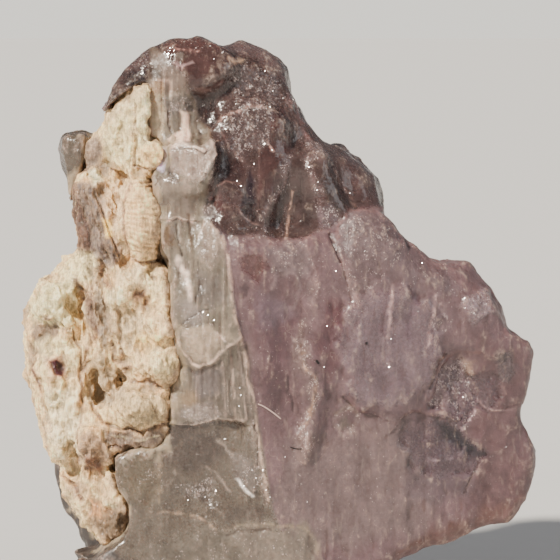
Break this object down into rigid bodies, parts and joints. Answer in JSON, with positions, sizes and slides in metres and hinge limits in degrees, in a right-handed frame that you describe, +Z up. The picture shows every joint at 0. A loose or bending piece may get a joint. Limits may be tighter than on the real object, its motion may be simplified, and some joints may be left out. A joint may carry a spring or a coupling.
{
  "type": "rose quartz specimen",
  "caption": "Broken chunk of translucent rose and smoky quartz with a cream feldspar crust on its left side; stands on a flat base.",
  "frame": {"origin": "middle of the base, on the surface that the specimen stands on", "axes": "+Z up, -Y towards the front that shows the rose slab and the crust, +X to the right seen from the front"},
  "size_m": [0.046, 0.027, 0.0518],
  "materials": {
    "quartz": "translucent rose, smoky and grey quartz with glassy broken faces, white veils and fine sparkle",
    "feldspar": "matt cream feldspar, lumpy and fibrous, with ochre stains in its pits"
  },
  "bodies": {
    "root": {"rose_quartz": "quartz", "feldspar_crust": "feldspar"}
  },
  "joints": []
}
